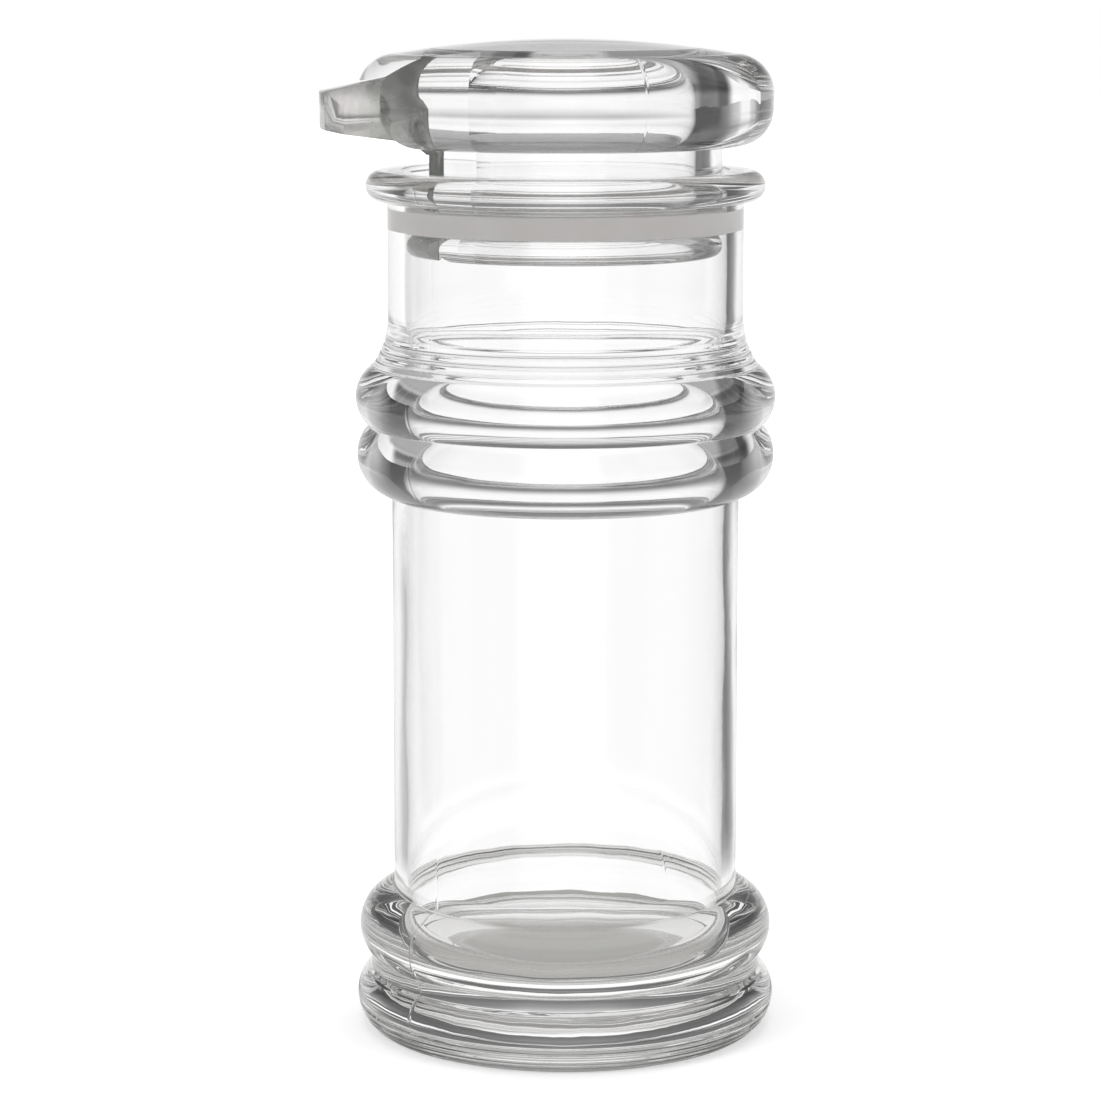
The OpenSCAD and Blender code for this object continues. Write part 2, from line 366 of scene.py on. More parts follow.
def solid(name, verts, faces):
    """A mesh object whose faces look outwards."""
    mesh = bpy.data.meshes.new(name)
    mesh.from_pydata(verts, [], faces)
    bm = bmesh.new()
    bm.from_mesh(mesh)
    bmesh.ops.recalc_face_normals(bm, faces=bm.faces)
    if bm.calc_volume(signed=True) < 0:
        bmesh.ops.reverse_faces(bm, faces=bm.faces)
    bm.to_mesh(mesh)
    bm.free()
    mesh.shade_smooth()
    obj = bpy.data.objects.new(name, mesh)
    SCENE.collection.objects.link(obj)
    return obj


def prism(name, outline, lo, hi, axis):
    """An outline pushed along x, y or z between two places, in millimetres."""
    n = len(outline)
    order = {"x": (2, 0, 1), "y": (0, 2, 1), "z": (0, 1, 2)}[axis]
    verts = []
    for at in (lo, hi):
        for a, b in outline:
            p = (a * MM, b * MM, at * MM)
            verts.append(tuple(p[i] for i in order))
    faces = [tuple(range(n)), tuple(range(2 * n - 1, n - 1, -1))]
    faces += [(i, (i + 1) % n, n + (i + 1) % n, n + i) for i in range(n)]
    return solid(name, verts, faces)


def rod(name, r, half, count=48):
    """A rod of this radius on the pin's axis, half long to each side."""
    turns = [2 * math.pi * i / count for i in range(count)]
    ring = [(PIN_X + r * math.cos(t), PIN_Z + r * math.sin(t)) for t in turns]
    return prism(name, ring, -half, half, "y")


def apply_mods(obj):
    """Puts the result of an object's modifiers into its mesh."""
    dg = bpy.context.evaluated_depsgraph_get()
    shown = obj.evaluated_get(dg)
    new = bpy.data.meshes.new_from_object(shown, preserve_all_data_layers=True, depsgraph=dg)
    old = obj.data
    obj.modifiers.clear()
    obj.data = new
    bpy.data.meshes.remove(old)


def cut(obj, tool, how="DIFFERENCE"):
    """Cuts an object with a tool, or joins or intersects the two, and removes the tool."""
    mod = obj.modifiers.new("cut", "BOOLEAN")
    mod.operation, mod.solver, mod.object = how, "EXACT", tool
    apply_mods(obj)
    mesh = tool.data
    bpy.data.objects.remove(tool)
    bpy.data.meshes.remove(mesh)


def rounded(obj, width, angle):
    """Rounds the edges that are sharper than this angle, and joins the slivers that this leaves."""
    mod = obj.modifiers.new("round", "BEVEL")
    mod.width, mod.segments = width * MM, 3
    mod.limit_method, mod.angle_limit = "ANGLE", math.radians(angle)
    obj.modifiers.new("weld", "WELD").merge_threshold = 0.002 * MM
    obj.data.shade_smooth()
    flat = obj.modifiers.new("flat", "WEIGHTED_NORMAL")
    flat.mode, flat.weight = "FACE_AREA", 50
    apply_mods(obj)


def tree_of(obj):
    """A search tree of a mesh, with each face's corners, their smooth normals and its own normal."""
    bm = bmesh.new()
    bm.from_mesh(obj.data)
    bm.normal_update()
    tree = BVHTree.FromBMesh(bm)
    normals = [[v.normal.copy() for v in f.verts] for f in bm.faces]
    points = [[v.co.copy() for v in f.verts] for f in bm.faces]
    flat = [f.normal.copy() for f in bm.faces]
    bm.free()
    return tree, points, normals, flat


def smooth_normal(co, points, normals):
    """The normal at a place on a face, from those at its corners, the nearer the stronger."""
    total, blend = 0.0, Vector((0, 0, 0))
    for p, normal in zip(points, normals):
        w = 1.0 / max((p - co).length, 1e-9) ** 2
        total += w
        blend += normal * w
    return blend / total


def carry_normals(obj, source, cut_slot=1):
    """After a cut, keeps the turned surface's smooth shading.

    The cut faces are flat, and go in a material slot of their own.
    """
    tree, points, normals, flat = source
    touch, same_way, inwards = 0.02 * MM, 0.96, 0.02
    mesh = obj.data
    out = [None] * len(mesh.loops)
    for poly in mesh.polygons:
        centre = poly.center
        hit = tree.find_nearest(centre)
        near = hit[0] is not None and (hit[0] - centre).length < touch
        own = near and flat[hit[2]].dot(poly.normal) > same_way
        for li in poly.loop_indices:
            out[li] = poly.normal.copy()
            if own:
                co = mesh.vertices[mesh.loops[li].vertex_index].co
                face = tree.find_nearest(co + (centre - co) * inwards)[2]
                smooth = smooth_normal(co, points[face], normals[face])
                if smooth.dot(poly.normal) > 0.5:
                    out[li] = smooth.normalized()
        if not own:
            poly.material_index = cut_slot
    mesh.shade_smooth()
    mesh.normals_split_custom_set([tuple(v) for v in out])


# Pieces


def uneven(p, depth, scale=1.0, offset=(0, 0, 0)):
    """Slow unevenness of a moulded wall, up to about this depth in millimetres."""
    return depth * noise.noise(p * scale + Vector(offset))


def seam_ridge(r, a, seams, half):
    """How far a mould's seams stand off the wall here, in millimetres."""
    height = 0.0
    for seam in seams:
        off = abs(from_seam(a, seam)) * r
        if off < half:
            height += SEAM_HEIGHT * (1 - (off / half) ** 2)
    return height


def grooved(circle, a0, a1, grooves, inward, marks):
    """An arc with fine grooves at these angles, and turning marks over the span between two angles."""
    cx, cz, r = circle
    half = math.degrees(GROOVE_HALF / r)
    out = []
    for x, z in arc(cx, cz, r, a0, a1, GROOVE_STEP):
        a = angle_at(circle, (x, z)) % 360
        dip = 0.0
        for groove in grooves:
            t = ((a - groove + 180) % 360 - 180) / half
            if abs(t) < 1:
                dip = max(dip, GROOVE_DEPTH * (1 - t * t) ** 0.8)
        if marks[0] < a < marks[1]:
            dip = max(dip, MARK_DEPTH * (1 + math.cos(math.radians(a * MARKS_ROUND))))
        k = (r + dip if inward else r - dip) / r
        out.append((cx + (x - cx) * k, cz + (z - cz) * k))
    return out


def jar_profile():
    """From the dimple underneath, up the outside, over the rim and down the bore to the floor."""
    valley = meet(MID, TOP, True)
    foot = meet(TOP, FLARE, False)
    level = -math.degrees(math.asin(BASE[1] / BASE[2]))
    line = [(0, DIMPLE_Z), (DIMPLE, DIMPLE_Z), (DIMPLE + DRAFT, RECESS_Z)]
    line += [(RECESS, RECESS_Z), (RECESS + DRAFT, 0)]
    line += grooved(BASE, level, angle_out(BASE, WAIST), BASE_GROOVES, False, BASE_MARKS)
    line += arc(*LOW, -angle_out(LOW, WAIST), angle_out(LOW, BODY))
    line += arc(*MID, -angle_out(MID, BODY), angle_at(MID, valley))
    line += arc(*TOP, angle_at(TOP, valley), angle_at(TOP, foot))
    line += grooved(FLARE, angle_at(FLARE, foot) % 360, 180, FLARE_GROOVES, True, FLARE_MARKS)
    line += [(NECK, LIP[1] - LIP[2])] + arc(*LIP, -90, 90)
    line += arc(BORE + RIM_EDGE, RIM - RIM_EDGE, RIM_EDGE, 90, 180)
    line += arc(BORE - FLOOR_CORNER, FLOOR + FLOOR_CORNER, FLOOR_CORNER, 0, -90) + [(0, FLOOR)]
    return profile(line, width=0.28, tol=0.0025, reach=3.0)


def jar_shift(r, z, a, n):
    """The moulded wall's unevenness, none at the mouth where the seal slides, and the mould's seams."""
    inside, outside = r < INNER_WALL, r > OUTER_WALL
    p = Vector((r * math.cos(a) * WAVE_ROUND, r * math.sin(a) * WAVE_ROUND, z * WAVE_UP))
    d = 0.0
    if inside and n[0] < -0.5 and BORE_LOW < z < MOUTH_Z:
        d += min(1.0, (MOUTH_Z - z) / MOUTH_FADE) * uneven(p, BORE_WAVE, 1.4)
    if outside and n[0] > 0.2 and z < NECK_Z:
        d += uneven(p, OUTER_WAVE, 1.0, (7, 3, 1))
        if z < BASE_Z:
            d -= BASE_IN
        if z < BEADS_Z:
            d += uneven(p, BASE_WAVE, 3.1, (1, 8, 2))
    if n[1] > 0.5 and FLOOR_LOW < z < FLOOR_HIGH:
        d += uneven(p, FLOOR_WAVE, 1.2, (2, 5, 9))
    if outside and n[0] > 0.15 and SEAM_LOW < z < SEAM_HIGH:
        left = SEAM_AT_BASE if z < SEAM_BASE_Z else SEAM_AT_BODY if z < SEAM_BODY_Z else SEAM_AT_TOP
        d += left * seam_ridge(r, a, SEAM_JAR, SEAM_JAR_HALF)
    return d


def make_jar():
    angles = turn_angles(TURN_FACES, SEAM_JAR, SEAM_JAR_HALF / SEAM_JAR_R)
    return lathe("jar_wall", jar_profile(), angles, shift=jar_shift)


def head_shift(r, z, a, n):
    """Unevenness of the lid's hollow and of its outside, and the mould's seams."""
    p = Vector((r * math.cos(a) * HEAD_WAVE, r * math.sin(a) * HEAD_WAVE, z * HEAD_WAVE))
    if r < HEAD_INNER and z < HEAD_INNER_Z:
        return uneven(p, 0.035, 1.3)
    if r > HEAD_OUTER:
        return uneven(p, 0.02, 1.0, (4, 4, 4)) + seam_ridge(r, a, SEAM_LID, SEAM_LID_HALF)
    return 0.0


def make_head():
    """The lid's head and plug, with the notch, the pin's hole and the seat of the crown."""
    line = [(CORE, PLUG_Z), (CORE, SHOULDER_Z), (PLUG, SHOULDER_Z), (PLUG, HEAD_LOWER[1] - HEAD_LOWER[2])]
    line += arc(*HEAD_LOWER, -90, 0) + arc(*HEAD_UPPER, 0, 90) + dome_line(DOME_EDGE, SEAT)
    line += [(SEAT, LEDGE), (HOLLOW, LEDGE), (HOLLOW, PLUG_Z)]
    prof = profile(line, closed=True, width=0.26, tol=0.0025, reach=2.5)
    angles = turn_angles(TURN_FACES, SEAM_LID, SEAM_LID_HALF / SEAM_LID_R)
    head = lathe("lid_head_body", prof, angles, closed=True, shift=head_shift)
    source = tree_of(head)
    under = LEDGE - NOTCH_UNDER
    notch = [(-NOTCH_OUT, NOTCH_LOW), (0, NOTCH_LOW), (0, under), (-HOLLOW, under), (-HOLLOW, NOTCH_TOP),
             (-ELBOW, NOTCH_TOP), (-NOTCH_OUT, NOTCH_MOUTH)]
    cut(head, prism("notch_tool", notch, -NOTCH_HALF, NOTCH_HALF, "y"))
    hole = rod("pin_tool", PIN_R - BOND, PIN_HALF - BOND, PIN_FACES)
    rounded(hole, PIN_EDGE, PIN_EDGE_ANGLE)
    cut(head, hole)
    carry_normals(head, source)
    return head


def make_crown():
    """The domed disc in the head's seat."""
    rim, wall, under = SEAT - SEAT_GAP, HOLLOW - CROWN_GAP, LEDGE - CROWN_DEPTH
    line = [(0, LID_TOP)] + dome_line(DOME_STEP, rim)
    line += [(rim, LEDGE + SEAT_GAP), (wall, LEDGE + SEAT_GAP), (wall, under), (0, under)]
    prof = profile(line, width=0.2, tol=0.002, reach=2.0)
    return lathe("lid_crown_lens", prof, turn_angles(TURN_FACES))


def make_ring():
    """The retaining ring on the plug's end, open where the lever's foot stands."""
    inner = CORE + RING_GAP
    line = [(inner, PLUG_Z)] + arc(PLUG - RING_R, PLUG_Z + RING_R, RING_R, -90, 90)
    line += [(inner, PLUG_Z + 2 * RING_R)]
    prof = profile(line, closed=True, width=0.2, tol=0.002)
    ring = lathe("retaining_ring_clip", prof, turn_angles(TURN_FACES), closed=True)
    source = tree_of(ring)
    slot = oblong(-RING_SLOT_OUT, 0, NOTCH_LOW, RING_SLOT_TOP)
    cut(ring, prism("ring_tool", slot, -NOTCH_HALF, NOTCH_HALF, "y"))
    carry_normals(ring, source, 0)
    return ring


def make_seal():
    """The soft band between plug and neck."""
    line = oblong(CORE - BOND, BORE + BOND, SEAL_LOW, SEAL_HIGH)
    prof = profile(line, closed=True, width=0.9, tol=0.003)
    return lathe("seal_band", prof, turn_angles(TURN_FACES), closed=True)


def lever_block():
    """The lever's tab and elbow: where its side, plan and front views and the lid's turned top meet."""
    side = [(-TIP, TIP_LOW), (-TIP, TIP_HIGH), (-ELBOW, ELBOW_Z), (-INNER, INNER_Z), (-INNER, STEM_Z),
            (-STEM, STEM_Z), (-HEEL, HEEL_Z)]
    plan = [(-INNER, -LEVER_HALF), (-CORNER, -LEVER_HALF), (-TIP, -TIP_HALF),
            (-TIP, TIP_HALF), (-CORNER, LEVER_HALF), (-INNER, LEVER_HALF)]
    eave = EAVE_Z - ROOF_SLOPE * (PAST_SIDE - LEVER_HALF)
    ridge = EAVE_Z + ROOF_SLOPE * LEVER_HALF
    front = [(-PAST_SIDE, PAST_LOW), (PAST_SIDE, PAST_LOW), (PAST_SIDE, eave), (0, ridge), (-PAST_SIDE, eave)]
    cone = [(0, PAST_CONE), (TIP, PAST_CONE), (TIP, TIP_HIGH), (ELBOW, ELBOW_Z), (0, ELBOW_Z)]
    lever = prism("thumb_lever_tab", side, -LEVER_HALF, LEVER_HALF, "y")
    cut(lever, prism("plan_tool", plan, PAST_PLAN, PAST_TOP, "z"), "INTERSECT")
    cut(lever, prism("bevel_tool", front, -PAST_TIP, -PAST_INNER, "x"), "INTERSECT")
    cut(lever, lathe("crown_tool", cone, turn_angles(TOOL_FACES)), "INTERSECT")
    return lever


def lever_foot():
    """The lever's foot: a piece of a rounded turned disc that fills the ring's gap."""
    line = [(0, FOOT_LOW)] + arc(FOOT - FOOT_R, FOOT_LOW + FOOT_R, FOOT_R, -90, 90)
    line += [(0, FOOT_LOW + 2 * FOOT_R)]
    foot = lathe("foot_tool", line, turn_angles(TOOL_FACES))
    span = oblong(-RING_SLOT_OUT, -FOOT_IN, -FOOT_HALF, FOOT_HALF)
    cut(foot, prism("foot_span", span, PAST_FOOT_LOW, PAST_FOOT_TOP, "z"), "INTERSECT")
    return foot


def make_lever():
    """The thumb lever: tab, elbow, stem and foot in one, with the pin's bore."""
    lever = lever_block()
    stem = oblong(-STEM, -STEM_IN, -STEM_HALF, STEM_HALF)
    cut(lever, prism("stem_tool", stem, STEM_LOW, STEM_TOP, "z"), "UNION")
    cut(lever, lever_foot(), "UNION")
    cut(lever, rod("pin_bore", PIN_R - BOND, PIN_BORE_HALF))
    rounded(lever, LEVER_EDGE, LEVER_EDGE_ANGLE)
    return lever


def make_pin():
    pin = rod("lever_pin_rod", PIN_R, PIN_HALF, PIN_FACES)
    rounded(pin, PIN_EDGE, PIN_EDGE_ANGLE)
    return pin


# Materials

DEEP_GLOSSY, DEEP_RAY = 3.5, 10.5
PLASTIC_IOR, SILICONE_IOR = 1.49, 1.41


class Nodes:
    """Short way to write a node tree. Lengths are in metres."""

    def __init__(self, name, world=False):
        kind = bpy.data.worlds if world else bpy.data.materials
        self.owner = kind.new(name)
        self.owner.use_nodes = True
        self.tree = self.owner.node_tree
        self.tree.nodes.clear()

    def give(self, socket, value):
        """Links a socket to another one, or sets it to a plain value."""
        if isinstance(value, bpy.types.NodeSocket):
            self.tree.links.new(value, socket)
        else:
            socket.default_value = value

    def add(self, kind, settings=None, **inputs):
        """A node; an input is named by its words with _ for a space, or by i and its number."""
        node = self.tree.nodes.new("ShaderNode" + kind)
        for key, value in (settings or {}).items():
            setattr(node, key, value)
        for key, value in inputs.items():
            slot = int(key[1:]) if key[0] == "i" and key[1:].isdigit() else key.replace("_", " ")
            self.give(node.inputs[slot], value)
        return node

    def math(self, how, a, b=0.0, c=0.0, clamp=False):
        return self.add("Math", {"operation": how, "use_clamp": clamp}, i0=a, i1=b, i2=c).outputs[0]

    def spread(self, value, a, b, to_a=0.0, to_b=1.0):
        """Goes smoothly from to_a to to_b while the value goes from a to b."""
        settings = {"interpolation_type": "SMOOTHSTEP", "clamp": True}
        node = self.add("MapRange", settings, Value=value, From_Min=a, From_Max=b, To_Min=to_a, To_Max=to_b)
        return node.outputs[0]

    def ramp(self, value, stops, how="LINEAR"):
        """A colour ramp; a stop is a place with a grey level or a colour."""
        node = self.add("ValToRGB", None, i0=value)
        node.color_ramp.interpolation = how
        elements = node.color_ramp.elements
        while len(elements) > len(stops):
            elements.remove(elements[-1])
        while len(elements) < len(stops):
            elements.new(1.0)
        for item, (at, col) in zip(elements, stops):
            item.position = at
            item.color = (*col, 1) if isinstance(col, tuple) else (col, col, col, 1)
        return node.outputs[0]

    def mix(self, share, a, b):
        """Colour a, and colour b by this share."""
        node = self.add("Mix", {"data_type": "RGBA"})
        self.give(node.inputs[0], share)
        for i, colour in ((6, a), (7, b)):
            self.give(node.inputs[i], (*colour, 1) if isinstance(colour, tuple) else colour)
        return node.outputs[2]

    def place(self, scale=None):
        """The point on the object, in metres, or that point times scale."""
        co = self.add("TexCoord").outputs["Object"]
        return self.add("Mapping", None, Vector=co, Scale=scale).outputs[0] if scale else co

    def part(self, vector, i):
        """One of a vector's three parts."""
        return self.add("SeparateXYZ", None, Vector=vector).outputs[i]

    def length(self, vector):
        return self.add("VectorMath", {"operation": "LENGTH"}, i0=vector).outputs["Value"]

    def distance(self, vector, point):
        return self.add("VectorMath", {"operation": "DISTANCE"}, i0=vector, i1=point).outputs["Value"]

    def facing(self):
        """0 where a face looks at the viewer, 1 at grazing view."""
        return self.add("LayerWeight", None, Blend=0.5).outputs["Facing"]

    def noise(self, vec, scale, detail=2.0, rough=0.5):
        return self.add("TexNoise", None, Vector=vec, Scale=scale, Detail=detail, Roughness=rough).outputs[0]

    def bump(self, height, strength, distance):
        return self.add("Bump", None, Height=height, Strength=strength, Distance=distance).outputs[0]

    def let_out(self):
        """1, but 0 for a ray so deep inside that it would be dropped as black; it then leaves straight."""
        lp = self.add("LightPath")
        glossy = self.math("GREATER_THAN", lp.outputs["Glossy Depth"], DEEP_GLOSSY)
        ray = self.math("GREATER_THAN", lp.outputs["Ray Depth"], DEEP_RAY)
        return self.math("SUBTRACT", 1.0, self.math("MAXIMUM", glossy, ray))

    def out(self, shader):
        """Ends the tree, and gives the material or the world."""
        world = isinstance(self.owner, bpy.types.World)
        node = self.add("OutputWorld" if world else "OutputMaterial")
        self.tree.links.new(shader, node.inputs[0])
        return self.owner


def painted_dark_line(n, co, radius, foot):
    """Mask of a painted dark line of shade: 1 on a thin ring of this radius, above this height, else 0."""
    off = n.math("ABSOLUTE", n.math("SUBTRACT", n.length(n.place((1.0, 1.0, 0.0))), radius))
    above = n.spread(n.part(co, 2), foot - 0.2 * MM, foot - 0.1 * MM)
    return n.math("MULTIPLY", n.spread(off, 0.06 * MM, 0.12 * MM, 1.0, 0.0), above)


def clear_plastic(name, ripple=0.05, rough=(0.0, 0.03), level_shade_share=1.0, weld=None):
    """Clear moulded plastic: painted shade that darkens it faintly towards grazing view, shallow ripples,
    duller patches.

    Level faces keep level_shade_share of that painted shade. weld is the radius and height of a painted dark
    line of shade.
    """
    n = Nodes(name)
    co = n.place()
    # Painted shade: the colour darkens towards grazing view, unevenly, to draw the plastic's dark edges;
    # level faces keep only a share of it.
    slow = n.math("MULTIPLY", n.math("SUBTRACT", n.noise(co, 55.0), 0.5), 0.12)
    graze = n.math("ADD", n.facing(), slow)
    painted_shade = n.ramp(graze, [(0.0, 1.0), (0.55, 1.0), (0.82, 0.75), (0.93, 0.5), (1.0, 0.225)])
    if level_shade_share < 1.0:
        level = n.math("ABSOLUTE", n.part(n.add("NewGeometry").outputs["Normal"], 2))
        painted_shade = n.mix(n.spread(level, 0.95, 0.99, 0.0, 1.0 - level_shade_share), painted_shade, WHITE)
    # Painted shade: a near-black line on the ring given by weld.
    if weld:
        painted_shade = n.mix(painted_dark_line(n, co, *weld), painted_shade, (0.03, 0.03, 0.03))
    fine = n.noise(co, 90.0, 3.0, 0.55)
    duller = n.spread(n.noise(co, 240.0, 4.0, 0.6), 0.55, 0.75, *rough)
    shader = n.add("BsdfPrincipled", None, Base_Color=painted_shade, Roughness=duller, IOR=PLASTIC_IOR,
                   Transmission_Weight=1.0, Specular_Tint=painted_shade, Alpha=n.let_out(),
                   Normal=n.bump(fine, ripple, 0.4 * MM))
    return n.out(shader.outputs[0])


def cut_plastic(name):
    """The notch's walls: the same plastic, but with the fine spark-worn face of the mould's slide, and
    painted shade that darkens them towards grazing view.
    """
    n = Nodes(name)
    co = n.place()
    grit = n.noise(co, 1500.0, 3.0, 0.6)
    pits = n.add("TexVoronoi", {"feature": "F1"}, Vector=co, Scale=900.0).outputs["Distance"]
    # Painted shade: the colour darkens towards grazing view, speckled by the grit, to draw the notch's dark
    # edges.
    graze = n.math("ADD", n.facing(), n.math("MULTIPLY", grit, 0.25))
    painted_shade = n.ramp(graze, [(0.1, 0.96), (0.7, 0.8), (1.0, 0.35)])
    height = n.math("ADD", grit, n.math("MULTIPLY", pits, 0.6))
    shader = n.add("BsdfPrincipled", None, Base_Color=painted_shade, IOR=PLASTIC_IOR, Transmission_Weight=1.0,
                   Roughness=n.spread(grit, 0.3, 0.7, 0.12, 0.34), Alpha=n.let_out(),
                   Normal=n.bump(height, 0.25, 0.2 * MM))
    return n.out(shader.outputs[0])


def soft_rubber(name):
    """Milky silicone: a warm pinkish grey with faint clouding and a dull skin."""
    n = Nodes(name)
    co = n.place()
    cloud = n.noise(co, 120.0, 3.0, 0.6)
    fine = n.noise(co, 900.0)
    col = n.ramp(cloud, [(0.25, (0.88, 0.85, 0.83)), (0.75, (0.93, 0.905, 0.89))])
    shader = n.add("BsdfPrincipled", None, Base_Color=col, IOR=SILICONE_IOR,
                   Roughness=n.spread(fine, 0.3, 0.7, 0.42, 0.62),
                   Subsurface_Weight=0.25, Subsurface_Scale=1.5 * MM,
                   Subsurface_Radius=(1.0, 0.85, 0.8), Normal=n.bump(fine, 0.15, 0.1 * MM))
    return n.out(shader.outputs[0])


def lever_tone_and_shade(n, x, cloud, streak):
    """The lever's colour: pale at the tip, streaked over its middle, with painted shade: greenish grey inside
    the notch, and dark grey towards grazing view.
    """
    # Painted shade: the lever is darker and greener where it runs inside the notch.
    inner = n.ramp(cloud, [(0.3, (0.73, 0.75, 0.71)), (0.7, (0.80, 0.81, 0.775))])
    middle = n.ramp(streak, [(0.38, (0.93, 0.93, 0.92)), (0.55, (0.80, 0.76, 0.75)),
                             (0.68, (0.90, 0.88, 0.87))])
    tone = n.mix(n.spread(x, -33.5 * MM, -30.5 * MM), middle, inner)
    tone = n.mix(n.spread(x, -38.5 * MM, -36.5 * MM, 1.0, 0.0), tone, (0.96, 0.96, 0.955))
    # Painted shade: dark grey towards grazing view, for the lever's dark edges.
    return n.mix(n.spread(n.facing(), 0.75, 1.0, 0.0, 0.55), tone, (0.30, 0.30, 0.29))


def frosted(name):
    """The lever's plastic: a clear body with a satin skin, clearest at the tip."""
    n = Nodes(name)
    co = n.place()
    x = n.part(co, 0)
    cloud = n.noise(co, 70.0)
    streak = n.noise(n.place((1400.0, 300.0, 25.0)), 1.0, 2.0, 0.6)
    fine = n.noise(co, 420.0)
    tone = lever_tone_and_shade(n, x, cloud, streak)
    outwards = n.math("MULTIPLY", x, -25.0)
    clear = n.ramp(outwards, [(0.72, 0.60), (0.82, 0.78), (0.93, 0.82), (0.98, 0.95)])
    satin = n.spread(x, -38 * MM, -30 * MM, 0.05, 0.20)
    rough = n.math("ADD", satin, n.spread(fine, 0.3, 0.7, 0.0, 0.08))
    height = n.math("ADD", n.math("MULTIPLY", fine, 0.5), streak)
    shader = n.add("BsdfPrincipled", None, Base_Color=tone, Roughness=rough, IOR=PLASTIC_IOR,
                   Transmission_Weight=clear, Normal=n.bump(height, 0.10, 0.3 * MM))
    return n.out(shader.outputs[0])


# The part

jar = make_jar()
head = make_head()
crown = make_crown()
ring = make_ring()
seal = make_seal()
lever = make_lever()
pin = make_pin()

jar_plastic = clear_plastic("clear_jar_plastic", level_shade_share=0.1)
# The lid's plastic has a painted dark line of shade where the crown sits in the head's seat.
lid_plastic = clear_plastic("clear_lid_plastic", ripple=0.04,
                            weld=((SEAT - SEAT_GAP / 2) * MM, LEDGE * MM))
ring_plastic = clear_plastic("clear_ring_plastic", ripple=0.06, rough=(0.02, 0.08))
pin_plastic = clear_plastic("clear_pin_plastic", rough=(0.03, 0.1))
cut_face = cut_plastic("clear_lid_cut_plastic")
rubber = soft_rubber("milky_seal_rubber")
lever_plastic = frosted("frosted_lever_plastic")

for obj, mats, body, slot, nodes in (
    (jar, [jar_plastic], "jar", "clear_jar", ["jar_body"]),
    (head, [lid_plastic, cut_face], "lid", "clear_lid", ["lid_head"]),
    (crown, [lid_plastic], "lid", "clear_lid", ["lid_crown"]),
    (ring, [ring_plastic], "lid", "clear_lid", ["retaining_ring"]),
    (seal, [rubber], "seal", "soft_seal", ["seal_ring"]),
    (lever, [lever_plastic], "lever", "frosted_lever", ["thumb_lever"]),
    (pin, [pin_plastic], "lid", "clear_pin", ["lever_pin"]),
):
    obj.data.materials.clear()
    for m in mats:
        obj.data.materials.append(m)
    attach(obj, body)
    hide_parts(*nodes)

# Stage: floor, surround, lamps and camera, in metres; bearings in degrees

STAGE_HALF, STAGE_Z = 4, -0.05 * MM
BACKDROP_HALF = 90
LAMP_AIM = (0, 0, 0.08)
CAMERA_PLACE = (-0.00255, -0.600, 0.177)
CAMERA_TILT = 9.18
CAMERA_LENS, CAMERA_SENSOR = 119.42, 36.0

# A ray with more crossings than this went straight through the hollow, and one with fewer ran in an edge

EDGE_CROSSINGS = 3.5


def seen(n):
    """Light Path, the rays that should meet white, and the rays that meet the dark cards.

    White are straight, reflected and transmitted rays. The cards are met only by rays that ran
    inside the plastic's edges, not straight through the hollow.
    """
    lp = n.add("LightPath")
    ray = lp.outputs
    bent = n.math("MAXIMUM", ray["Is Glossy Ray"], ray["Is Transmission Ray"])
    white = n.math("MAXIMUM", ray["Is Camera Ray"], bent)
    depth = ray["Transmission Depth"]
    few = n.math("LESS_THAN", depth, EDGE_CROSSINGS)
    rim = n.math("MAXIMUM", few, n.math("GREATER_THAN", ray["Glossy Depth"], 0.5))
    inside = n.math("MULTIPLY", n.math("GREATER_THAN", depth, 0.5),
                    n.math("LESS_THAN", ray["Diffuse Depth"], 0.5))
    return ray, white, n.math("MULTIPLY", rim, inside)


def bearing_of(n, xyz):
    """The bearing from the nearer backdrop; one stands behind the object and one before it."""
    half = math.radians(BACKDROP_HALF)
    azimuth = n.math("ARCTAN2", xyz.outputs[0], xyz.outputs[1])
    return n.math("MULTIPLY", n.math("WRAP", azimuth, half, -half), 180 / math.pi)


def less(n, share, *parts):
    """1 minus share times all these parts."""
    for part in parts:
        share = n.math("MULTIPLY", part, share)
    return n.math("SUBTRACT", 1.0, share)


def under_part(n, co, y, away):
    """What the part's own shade leaves of the floor close to it."""
    near = n.spread(n.distance(co, (0.0, -0.016, 0.0)), 0.032, 0.039, 0.56, 1.0)
    front = n.spread(n.distance(co, (0.0, -0.035, 0.0)), 0.062, 0.085, 0.76, 1.0)
    contact = n.math("MULTIPLY", n.spread(y, 0.010, 0.026), n.spread(away, 0.046, 0.056, 1.0, 0.0))
    contact = n.math("MULTIPLY", contact, n.spread(away, 0.034, 0.036))
    return n.math("MULTIPLY", n.math("MULTIPLY", near, front), less(n, 0.70, contact))


def floor_card(n, edge, side, away):
    """What a dark card to one side leaves of the floor."""
    return less(n, 0.95, edge, n.spread(side, 24, 36), n.spread(side, 43, 48, 1.0, 0.68),
                n.spread(side, 62, 70, 1.0, 0.0), n.spread(away, 0.10, 0.16))


def floor_wings(n, ray, edge, side, away):
    """What dark wings to both sides leave of the far floor, and of the floor after a reflection."""
    again = n.math("GREATER_THAN", ray["Glossy Depth"], 0.5)
    bounced = less(n, 0.6, edge, again, n.spread(n.math("ABSOLUTE", side), 25, 42),
                   n.spread(away, 0.10, 0.14), n.spread(away, 0.45, 0.6, 1.0, 0.0))
    wings = n.math("MAXIMUM", n.spread(side, 20, 36), n.spread(side, -43, -51))
    dim = less(n, 0.88, edge, wings, n.spread(away, 0.4, 0.7), n.spread(away, 0.8, 1.6, 1.0, 0.78))
    return n.math("MULTIPLY", dim, bounced)


